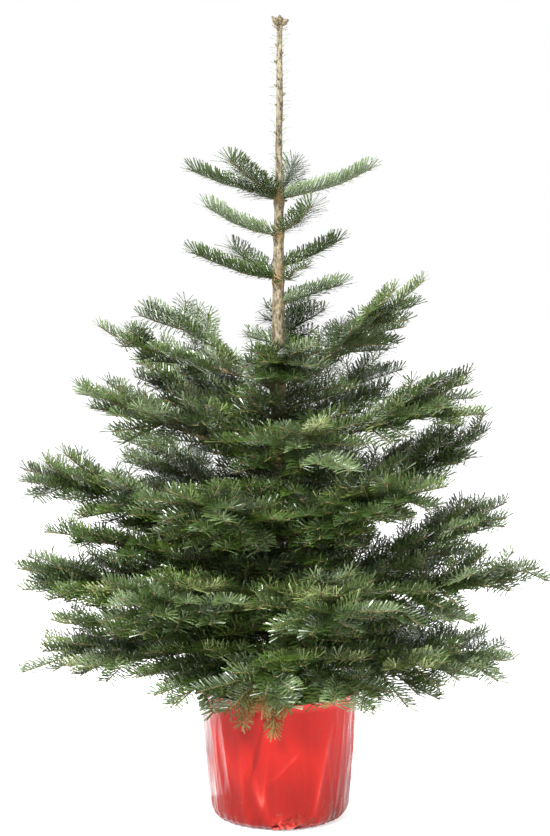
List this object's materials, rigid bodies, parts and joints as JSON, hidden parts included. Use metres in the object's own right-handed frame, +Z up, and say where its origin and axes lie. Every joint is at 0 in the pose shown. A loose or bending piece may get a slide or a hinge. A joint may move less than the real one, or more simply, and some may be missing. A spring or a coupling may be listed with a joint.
{
  "type": "pot-grown christmas tree, a young fir in a film-wrapped nursery pot",
  "caption": "Young fir grown in a nursery pot: tapering trunk with a long bare leader, whorled boughs in a rounded cone of needles, pot wrapped in loose glossy film.",
  "frame": {"origin": "centre of the flat underside of the wrapped pot, which stands on the floor", "axes": "+Z up along the trunk, +X to the tree's right as seen from the front, +Y to its back"},
  "size_m": [0.8235, 0.7039, 1.2427],
  "materials": {
    "needles": "waxy dark green needles, paler beneath, with lighter and blue-grey shoots",
    "bark": "smooth grey-tan young bark with lenticels and collars at the whorls",
    "bud_scale": "resinous brown bud scales",
    "red_film": "glossy red film with soft vertical folds and a crumpled foot",
    "pot_plastic": "matt black moulded plastic",
    "compost": "loose dark brown compost with bits of bark"
  },
  "bodies": {
    "root": {"bough_second_1": "bark", "bough_second_2": "bark", "bough_second_3": "bark", "bough_second_4": "bark", "bough_second_5": "bark", "bough_third_1": "bark", "bough_third_2": "bark", "bough_third_3": "bark", "bough_third_4": "bark", "bough_third_5": "bark", "film_wrap": "red_film", "foliage_between_1": "needles", "foliage_between_2": "needles", "foliage_fifth_1": "needles", "foliage_fifth_2": "needles", "foliage_fifth_3": "needles", "foliage_fifth_4": "needles", "foliage_fifth_5": "needles", "foliage_fifth_6": "needles", "foliage_fifth_7": "needles", "foliage_fourth_1": "needles", "foliage_fourth_2": "needles", "foliage_fourth_3": "needles", "foliage_fourth_4": "needles", "foliage_fourth_5": "needles", "foliage_fourth_6": "needles", "foliage_lowest_1": "needles", "foliage_lowest_2": "needles", "foliage_lowest_3": "needles", "foliage_lowest_4": "needles", "foliage_lowest_5": "needles", "foliage_lowest_6": "needles", "foliage_lowest_7": "needles", "foliage_second_1": "needles", "foliage_second_2": "needles", "foliage_second_3": "needles", "foliage_second_4": "needles", "foliage_second_5": "needles", "foliage_second_6": "needles", "foliage_third_1": "needles", "foliage_third_2": "needles", "foliage_third_3": "needles", "foliage_third_4": "needles", "foliage_third_5": "needles", "foliage_top_back": "needles", "foliage_top_back_left": "needles", "foliage_top_front_left": "needles", "foliage_top_left": "needles", "foliage_top_lower_right": "needles", "foliage_top_middle_back": "needles", "foliage_top_middle_front": "needles", "foliage_top_middle_left": "needles", "foliage_top_middle_right": "needles", "foliage_top_right": "needles", "foliage_top_upper_left": "needles", "foliage_top_upper_right": "needles", "growing_medium": "compost", "leader_buds": "bud_scale", "nursery_pot": "pot_plastic", "trunk": "bark"}
  },
  "joints": []
}
